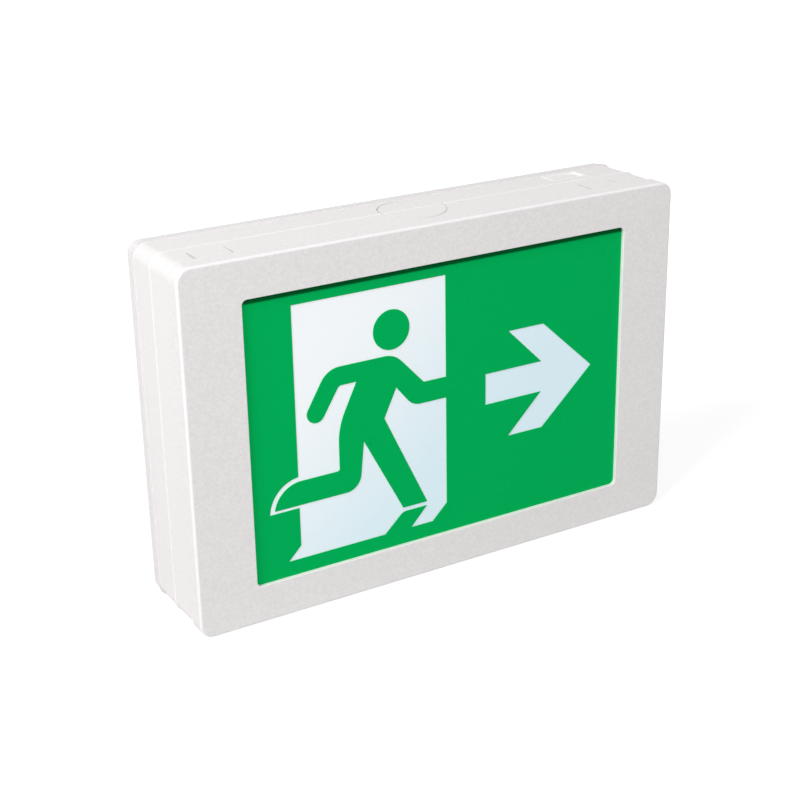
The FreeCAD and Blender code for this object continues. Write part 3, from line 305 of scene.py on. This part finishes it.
def faces_of(piece):
    """The centres of a piece's faces in mm and how far each faces front or back, 0 to 1."""
    centres, normals = (np.empty(3 * len(piece.data.polygons)) for _ in range(2))
    piece.data.polygons.foreach_get("center", centres)
    piece.data.polygons.foreach_get("normal", normals)
    return (*(1000 * centres.reshape(-1, 3).T), np.abs(normals.reshape(-1, 3)[:, 1]))


# The window's walls and the front radius take the polished finish and its painted highlight too.
x, y, z, facing = faces_of(front_cover)
in_window = (np.abs(x) < WINDOW[0] + 0.2) & (np.abs(z - height / 2) < WINDOW[1] + 0.2)
on_radius = (y < cover_low[1] + FRONT_RADIUS) & (facing < 0.97) & (facing > 0.2)
front_cover.data.polygons.foreach_set(
    "material_index", ((in_window & (facing < 0.5) | on_radius) * 1).astype(np.int32))

# ---- Legend -------------------------------------------------------------------------------------
# A white opal acrylic panel carries a green film printed from behind, with the running figure,
# doorway and arrow left clear so that the panel's white shows through them.


def sheet_with_painted_shade(name, base, deep, edge, grain_mm, rough, ior, way, start, end):
    """A printed or cast sheet: base to deep as in moulded, passing to the edge colour, a painted
    shade, between two places, in mm, along the direction way: the place of a point is its dot
    product with way."""
    material = moulded(name, base, deep, grain_mm, rough, 0.001, ior)
    tree = material.node_tree
    skin = next(node for node in tree.nodes if node.type == "BSDF_PRINCIPLED")
    where = add_node(tree, "ShaderNodeTexCoord").outputs["Object"]
    along = add_node(tree, "ShaderNodeVectorMath", {0: where}, {1: way}, operation="DOT_PRODUCT")
    share = add_node(tree, "ShaderNodeMapRange", {"Value": along.outputs["Value"]},
                     {"From Min": start / 1000, "From Max": end / 1000},
                     interpolation_type="SMOOTHSTEP")
    tint = add_node(tree, "ShaderNodeMix",
                    {0: share.outputs[0], 6: skin.inputs["Base Color"].links[0].from_socket},
                    data_type="RGBA")
    tint.inputs[7].default_value = linear(edge)
    tree.links.new(tint.outputs[2], skin.inputs["Base Color"])
    return material


# The film is coloured darker just below the window's upper edge, as painted shadow of the lip
# above;
# the opal sheet is painted whitest at its upper left and paler blue-grey to the lower right, as
# painted light falloff, and has a faint bluish painted glow.
UPWARDS, DOWN_TO_THE_RIGHT = (0, 0, 1), (0.7071, 0, -0.7071)
window_top = height / 2 + WINDOW[1]
legend_film = finished("legend_film")
legend_film.data.materials.append(sheet_with_painted_shade(
    "green_legend_film", "#00B65C", "#00B35A", "#005526", 3.0, 0.5, 1.07,
    UPWARDS, window_top - 4.0, window_top - 2.6))
legend_panel = finished("legend_panel")
opal = sheet_with_painted_shade("opal_acrylic", "#FFFFFF", "#FCFFFF", "#E1F4FA", 3.0, 0.3, 1.4,
                DOWN_TO_THE_RIGHT, -176.0, -32.0)
skin = next(node for node in opal.node_tree.nodes if node.type == "BSDF_PRINCIPLED")
# Painted glow: a faint bluish emission that brightens the panel, which is no lamp.
skin.inputs["Emission Color"].default_value = linear("#B7D9FF")
skin.inputs["Emission Strength"].default_value = 0.08
legend_panel.data.materials.append(opal)

# ---- Housing frame ------------------------------------------------------------------------------
# The deep middle ring, moulded in the same plastic. The cover hooks onto its front and the back
# plate onto its rear; it has the canopy knock-out and the latch slits in its top. The crown of the
# parting bead and the edges of the plug recess are left polished, with a lighter painted highlight.
housing_frame = finished("housing_frame")
frame_plastic = moulded("grained_abs_frame", "#F1EEED", "#EAE6E7",
                        GRAIN_WIDTH, GRAIN_ROUGHNESS, GRAIN_DEPTH)
for finish in (frame_plastic, polished_with_painted_highlight):
    housing_frame.data.materials.append(finish)
x, y, z, facing = faces_of(housing_frame)
frame_low, frame_high = (1000 * np.array(corner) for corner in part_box("housing_frame"))
seam = (frame_low[1] + frame_high[1]) / 2
# Millimetres: half the bead's width; where the recess lies to the right of the middle and behind
# the seam; and how far below the top its polished edges with the painted highlight reach.
BEAD, RECESS_X, RECESS_Y, RECESS_EDGES = 0.45, (107.0, 133.0), (6.5, 20.5), 1.6
on_bead = np.abs(y - seam) < BEAD
on_recess = ((x > RECESS_X[0]) & (x < RECESS_X[1]) & (y > seam + RECESS_Y[0])
             & (y < seam + RECESS_Y[1]) & (z >= height - RECESS_EDGES))
# The bead and the recess edges take the polished finish and its painted highlight.
housing_frame.data.polygons.foreach_set("material_index",
                                        ((on_bead | on_recess) * 1).astype(np.int32))

# ---- Back plate ---------------------------------------------------------------------------------
# The tray that is screwed to the wall or to an outlet box, with the cable entry in its middle.
# It is coloured a shade greyer than the frame, as painted shade: its top slopes away from the
# light.
back_plate = finished("back_plate")
back_plate.data.materials.append(
    moulded("grained_abs_back_shell_painted_shade", "#ECE9E9", "#E4E1E2",
            GRAIN_WIDTH, GRAIN_ROUGHNESS, GRAIN_DEPTH))

# ---- Reflector tray -----------------------------------------------------------------------------
# A thermoformed tray of glossy white polycarbonate that closes off the wiring and throws the
# light of the two strips forwards. It is screwed to four posts in the corners of the frame.
reflector_tray = finished("reflector_tray")
reflector_tray.data.materials.append(
    moulded("glossy_white_polycarbonate", "#F4F4F1", "#EFEFEC", 2.5, 0.24, 0.002))


def solids_of(node):
    """The low and high corner in metres of every separate solid of a CAD node: (solids, 2, 3)."""
    work = bmesh.new()
    work.from_mesh(nodes[node].data)
    bmesh.ops.remove_doubles(work, verts=work.verts, dist=2e-6)
    work.verts.ensure_lookup_table()
    points = np.array([tuple(v.co) for v in work.verts])
    ends = np.array([[v.index for v in edge.verts] for edge in work.edges])
    work.free()
    label = np.arange(len(points))
    while True:
        lowest = np.minimum(label[ends[:, 0]], label[ends[:, 1]])
        spread = label.copy()
        np.minimum.at(spread, ends[:, 0], lowest)
        np.minimum.at(spread, ends[:, 1], lowest)
        spread = spread[spread]
        if (spread == label).all():
            break
        label = spread
    return np.array([[points[label == k].min(0), points[label == k].max(0)]
                     for k in np.unique(label)])


def turned(name, radii, heights, seats, axis, steps=48, relief=None):
    """Surfaces of revolution, one at each seat: radii and heights, in metres, are the profile from
    the front centre to the back centre and axis (0 or 1) is the way the heights run. A point is
    seat + height * axis + radius * (cos t, sin t) across it; relief(radius, t, height) returns the
    radius and height to use instead, so that a recess or a thread can be cut."""
    angle = np.linspace(0, 2 * np.pi, steps, endpoint=False)
    radius, turn = np.meshgrid(radii, angle, indexing="ij")
    height = np.repeat(np.asarray(heights)[:, None], steps, axis=1)
    if relief:
        radius, height = relief(radius, turn, height)
    across, up = radius * np.cos(turn), radius * np.sin(turn)
    shape = np.stack((across, height, up) if axis == 1 else (height, across, up), axis=-1)
    points = shape[None] + np.asarray(seats)[:, None, None]
    ring, step = np.meshgrid(np.arange(len(radii) - 1), np.arange(steps), indexing="ij")
    after = (step + 1) % steps
    quads = np.stack((ring * steps + step, (ring + 1) * steps + step,
                      (ring + 1) * steps + after, ring * steps + after), axis=-1).reshape(-1, 4)
    if axis == 0:
        quads = quads[:, ::-1]
    quads = quads[None] + (np.arange(len(points)) * len(radii) * steps)[:, None, None]
    made = mesh_object(name, points, quads.reshape(-1, 4).tolist())
    poles = bmesh.new()
    poles.from_mesh(made.data)
    bmesh.ops.remove_doubles(poles, verts=poles.verts, dist=1e-7)
    poles.to_mesh(made.data)
    poles.free()
    made.data.set_sharp_from_angle(angle=math.radians(40))
    return made


# ---- Screws -------------------------------------------------------------------------------------
# Zinc-plated steel thread-forming screws with pan heads and a cross recess, driven into the posts
# of the tray, boards and strap. The plating gives a bluish, slightly uneven satin shine, with
# blotches about a millimetre wide.
zinc = bpy.data.materials.new("zinc_plated_steel")
zinc.use_nodes = True
tree = zinc.node_tree
tree.nodes.clear()
where = add_node(tree, "ShaderNodeTexCoord").outputs["Object"]
bloom = add_node(tree, "ShaderNodeTexNoise", {"Vector": where}, {"Scale": 900.0, "Detail": 3.0})
tint = add_node(tree, "ShaderNodeMix", {0: bloom.outputs[0]}, data_type="RGBA")
tint.inputs[6].default_value = linear("#C4C7CB")
tint.inputs[7].default_value = linear("#AEB1B6")
dull = add_node(tree, "ShaderNodeMapRange", {"Value": bloom.outputs[0]},
                {"To Min": 0.24, "To Max": 0.42})
skin = add_node(tree, "ShaderNodeBsdfPrincipled",
                {"Base Color": tint.outputs[2], "Roughness": dull.outputs[0]}, {"Metallic": 1.0})
add_node(tree, "ShaderNodeOutputMaterial", {"Surface": skin.outputs[0]})


def pan_screws(node, axis, head=0.0018, thread=0.0008):
    """The screws of a CAD node, made with domed heads of that height, a cross recess and a rolled
    thread of that pitch, in metres. The crown falls by head * 0.45 (r / R)^2 from its middle, the
    recess is two crossed slots that grow shallower outwards, and the thread is a cosine groove
    along height / pitch - t / (2 pi). The shank and the recess are shares of the head's radius."""
    shank_share, recess_share, recess_run = 0.36, 0.62, 0.45
    slot_half, slot_wall, slot_depth, thread_depth = 0.00026, 0.00012, 0.0013, 0.00016
    corners = solids_of(node)
    low, high = corners[:, 0], corners[:, 1]
    outer = float((high[0, 2] - low[0, 2]) / 2)
    length = float(high[0, axis] - low[0, axis])
    shank = outer * shank_share
    seats = (low + high) / 2
    seats[:, axis] = low[:, axis]
    crown = np.linspace(0, outer, 34)
    rise = head * 0.45 * (crown / outer) ** 2
    turns = np.arange(head, length - 0.0004, thread / 8)
    radii = np.concatenate((crown, [outer, shank], np.full(len(turns), shank), [shank * 0.6, 0]))
    heights = np.concatenate((rise, [head, head], turns, [length, length]))

    def cut(radius, turn, height):
        x, z = np.abs(radius * np.cos(turn)), np.abs(radius * np.sin(turn))
        wall = np.clip((slot_half - np.minimum(x, z)) / slot_wall, 0, 1)
        reach = np.clip((outer * recess_share - radius) / (outer * recess_run), 0, 1)
        on_crown = (np.arange(len(radius)) < len(crown))[:, None]
        height = height + on_crown * wall * reach * min(slot_depth, head * 0.7)
        rows = np.arange(len(radius))[:, None]
        threaded = (rows > len(crown) + 3) & (rows < len(radius) - 2)
        groove = 0.5 + 0.5 * np.cos(2 * np.pi * height / thread - turn)
        return radius - threaded * groove * thread_depth, height

    made = turned(node + "_threaded", radii, heights, seats, axis, 56, cut)
    made.data.materials.append(zinc)
    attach(made, "root")
    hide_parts(node)


for node, way in (("tray_screws", 1), ("strip_screws", 1), ("board_screws", 1),
                  ("strap_screws", 1), ("switch_board_screws", 0)):
    pan_screws(node, way)

# ---- Lamp strips --------------------------------------------------------------------------------
# Two narrow aluminium-backed boards under white solder resist, with a row of white LEDs on each:
# a moulded package with a yellow phosphor dome. A two-wire lead links the strips.
# Resist and package are a slightly warm satin white, and the domes are glossy.
white_resist = moulded("white_solder_resist", "#F0F0EC", "#E7E7E2", 1.2, 0.38, 0.003)
package = moulded("white_led_package", "#F3F2EA", "#ECEBE2", 0.6, 0.35, 0.002)
phosphor = moulded("yellow_phosphor_silicone", "#F2C838", "#E6B728", 0.5, 0.18, 0.003, 1.41)
DOME_RADIUS, DOME_RISE = 0.00115, 0.0004
for level in ("upper", "lower"):
    finished(level + "_led_board").data.materials.append(white_resist)
    finished(level + "_leds").data.materials.append(package)
    corners = solids_of(level + "_leds")
    seats = corners.mean(axis=1)
    seats[:, 1] = corners[:, 0, 1] + 0.00001
    across = np.linspace(0, DOME_RADIUS, 9)
    domes = turned(level + "_phosphor", across, -DOME_RISE * (1 - (across / DOME_RADIUS) ** 2),
                   seats, 1, 28)
    domes.data.materials.append(phosphor)
    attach(domes, "root")

# ---- Charger board ------------------------------------------------------------------------------
# Glass-epoxy laminate under green resist. Copper areas and tracks show through as lighter green
# with squared outlines; drawn about 4 mm across, coarser than real tracks so that they read.


def circuit(name, resist, copper, pitch_mm):
    """Solder resist over copper: cells of that pitch in mm, with square outlines as the gaps."""
    material = bpy.data.materials.new(name)
    material.use_nodes = True
    tree = material.node_tree
    tree.nodes.clear()
    where = add_node(tree, "ShaderNodeTexCoord").outputs["Object"]
    cells = add_node(tree, "ShaderNodeTexVoronoi", {"Vector": where}, {"Scale": 1000 / pitch_mm},
                     distance="CHEBYCHEV", feature="F1")
    edge = add_node(tree, "ShaderNodeMapRange", {"Value": cells.outputs["Distance"]},
                    {"From Min": 0.42, "From Max": 0.46})
    tint = add_node(tree, "ShaderNodeMix", {0: edge.outputs[0]}, data_type="RGBA")
    tint.inputs[6].default_value = linear(copper)
    tint.inputs[7].default_value = linear(resist)
    step = add_node(tree, "ShaderNodeBump", {"Height": edge.outputs[0]},
                    {"Strength": 1.0, "Distance": 0.00004}, invert=True)
    skin = add_node(tree, "ShaderNodeBsdfPrincipled",
                    {"Base Color": tint.outputs[2], "Normal": step.outputs[0]},
                    {"Roughness": 0.27, "IOR": 1.55})
    add_node(tree, "ShaderNodeOutputMaterial", {"Surface": skin.outputs[0]})
    return material


# Dark green with a gloss like varnish, stepped by the copper under it.
green_resist = circuit("green_solder_resist", "#15502C", "#24733F", 4.0)
finished("charger_board").data.materials.append(green_resist)
finished("switch_board").data.materials.append(green_resist)

# ---- Transformer --------------------------------------------------------------------------------
# A sintered ferrite core, matt and nearly black, round a bobbin wound with wire and closed with
# yellow polyester tape whose turns show as fine steps 1.5 mm apart.
finished("transformer_core").data.materials.append(
    moulded("sintered_ferrite", "#3A3A3D", "#2C2C2F", 0.35, 0.66, 0.02, 2.0))
tape = moulded("yellow_polyester_tape", "#D8A92E", "#CB9A22", 1.5, 0.28, 0.03, 1.57)
finished("transformer_winding").data.materials.append(tape)

# ---- Capacitors ---------------------------------------------------------------------------------
# Aluminium cans in a dark blue shrink sleeve, with the bare can end pressed in a cross so that it
# opens under pressure, and a mustard-coloured film capacitor in a moulded case.
sleeve = moulded("navy_shrink_sleeve", "#22365E", "#1B2C50", 5.0, 0.25, 0.004, 1.54)
finished("bulk_capacitors").data.materials.append(sleeve)
cans = solids_of("bulk_capacitors")
can_radius = float(cans[0, 1, 2] - cans[0, 0, 2]) / 2
seats = cans.mean(axis=1)
seats[:, 1] = cans[:, 0, 1]


def vented(radius, turn, height):
    """A can end whose pressed cross, 0.5 mm wide, lies 0.25 mm below its face."""
    near = np.minimum(np.abs(radius * np.cos(turn)), np.abs(radius * np.sin(turn)))
    score = np.clip((0.00035 - near) / 0.0002, 0, 1) * (radius < can_radius * 0.72)
    return radius, height + score * 0.00025


ends = turned("can_ends", np.linspace(0, can_radius * 0.84, 26),
              np.linspace(-0.0003, 0.00005, 26), seats, 1, 72, vented)
ends.data.materials.append(zinc)
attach(ends, "root")
finished("film_capacitor").data.materials.append(
    moulded("mustard_epoxy_case", "#C98A2B", "#BC7E22", 0.8, 0.42, 0.01))

# ---- Relay, fuse and switch ---------------------------------------------------------------------
# Black glass-filled nylon cases: matt, with a fine grain left by the mould and the fibres.
black_nylon = moulded("black_glass_filled_nylon", "#27272B", "#1F1F23", 0.5, 0.5, 0.012)
for node in ("changeover_relay", "fuse", "test_switch"):
    finished(node).data.materials.append(black_nylon)

# ---- Supply terminal ----------------------------------------------------------------------------
# A green polyamide terminal block whose clamping screws have one slot each, turned across it.
finished("supply_terminal").data.materials.append(
    moulded("green_polyamide", "#2F7D46", "#277140", 0.7, 0.45, 0.01))
corners = solids_of("terminal_screws")
seats = corners.mean(axis=1)
seats[:, 1] = corners[:, 0, 1]
clamp = float(corners[0, 1, 2] - corners[0, 0, 2]) / 2
depth = float(corners[0, 1, 1] - corners[0, 0, 1])


def slotted(radius, turn, height):
    """A slot 0.7 mm wide and 0.8 mm deep right across the head."""
    slot = np.clip((0.00035 - np.abs(radius * np.sin(turn + 0.6))) / 0.0001, 0, 1)
    return radius, height + slot * (height < depth * 0.3) * 0.0008


rings = np.linspace(0, clamp * 0.94, 22)
clamps = turned("terminal_screw_heads", np.concatenate((rings, [clamp, clamp, 0])),
                np.concatenate((np.zeros(22), [0.0001, depth, depth])), seats, 1, 72, slotted)
clamps.data.materials.append(zinc)
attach(clamps, "root")
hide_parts("terminal_screws")

# ---- Plugs and sockets --------------------------------------------------------------------------
# Natural, slightly yellow nylon connectors, a little waxy because light enters the nylon.
natural_nylon = moulded("natural_nylon", "#E9E5D3", "#E1DCC8", 1.0, 0.4, 0.004, 1.53)
for use in ("battery", "led", "switch"):
    for half in ("socket", "plug"):
        finished(use + "_" + half).data.materials.append(natural_nylon)

# ---- Battery ------------------------------------------------------------------------------------
# Three cells under one blue PVC shrink wrap, tight over the cells and faintly rippled, and a
# white nylon strap screwed down at both ends to hold the pack on the back plate.
finished("battery_pack", sharp=45.0).data.materials.append(
    moulded("blue_shrink_wrap", "#2E62AE", "#2857A0", 6.0, 0.22, 0.09, 1.54))
finished("battery_strap").data.materials.append(
    moulded("white_nylon_strap", "#DFDFDA", "#D8D8D3", 0.9, 0.5, 0.01, 1.53))

# ---- Leads --------------------------------------------------------------------------------------
# Stranded copper in red PVC, the pairs drawn through one sleeve, with the soft shine of PVC.
red_pvc = moulded("red_pvc_insulation", "#A61F1E", "#98191A", 2.0, 0.36, 0.006, 1.54)
for node in ("battery_lead", "led_lead", "strip_link_lead", "switch_lead"):
    finished(node).data.materials.append(red_pvc)

# ---- Test button and pilot lamp -----------------------------------------------------------------
# A red push button and a green-tinted resin indicator that stand just inside the right-hand end.
finished("test_button").data.materials.append(
    moulded("red_polycarbonate_button", "#B8221F", "#AC1C1A", 0.6, 0.3, 0.004, 1.58))
# Cast resin, glossy and partly clear, with a slight haze in its green.
resin = bpy.data.materials.new("green_tinted_resin")
resin.use_nodes = True
tree = resin.node_tree
tree.nodes.clear()
where = add_node(tree, "ShaderNodeTexCoord").outputs["Object"]
haze = add_node(tree, "ShaderNodeTexNoise", {"Vector": where}, {"Scale": 1200.0})
tint = add_node(tree, "ShaderNodeMix", {0: haze.outputs[0]}, data_type="RGBA")
tint.inputs[6].default_value = linear("#3CC968")
tint.inputs[7].default_value = linear("#27B354")
skin = add_node(tree, "ShaderNodeBsdfPrincipled", {"Base Color": tint.outputs[2]},
                {"Roughness": 0.12, "IOR": 1.54, "Transmission Weight": 0.6})
add_node(tree, "ShaderNodeOutputMaterial", {"Surface": skin.outputs[0]})
finished("pilot_lamp").data.materials.append(resin)
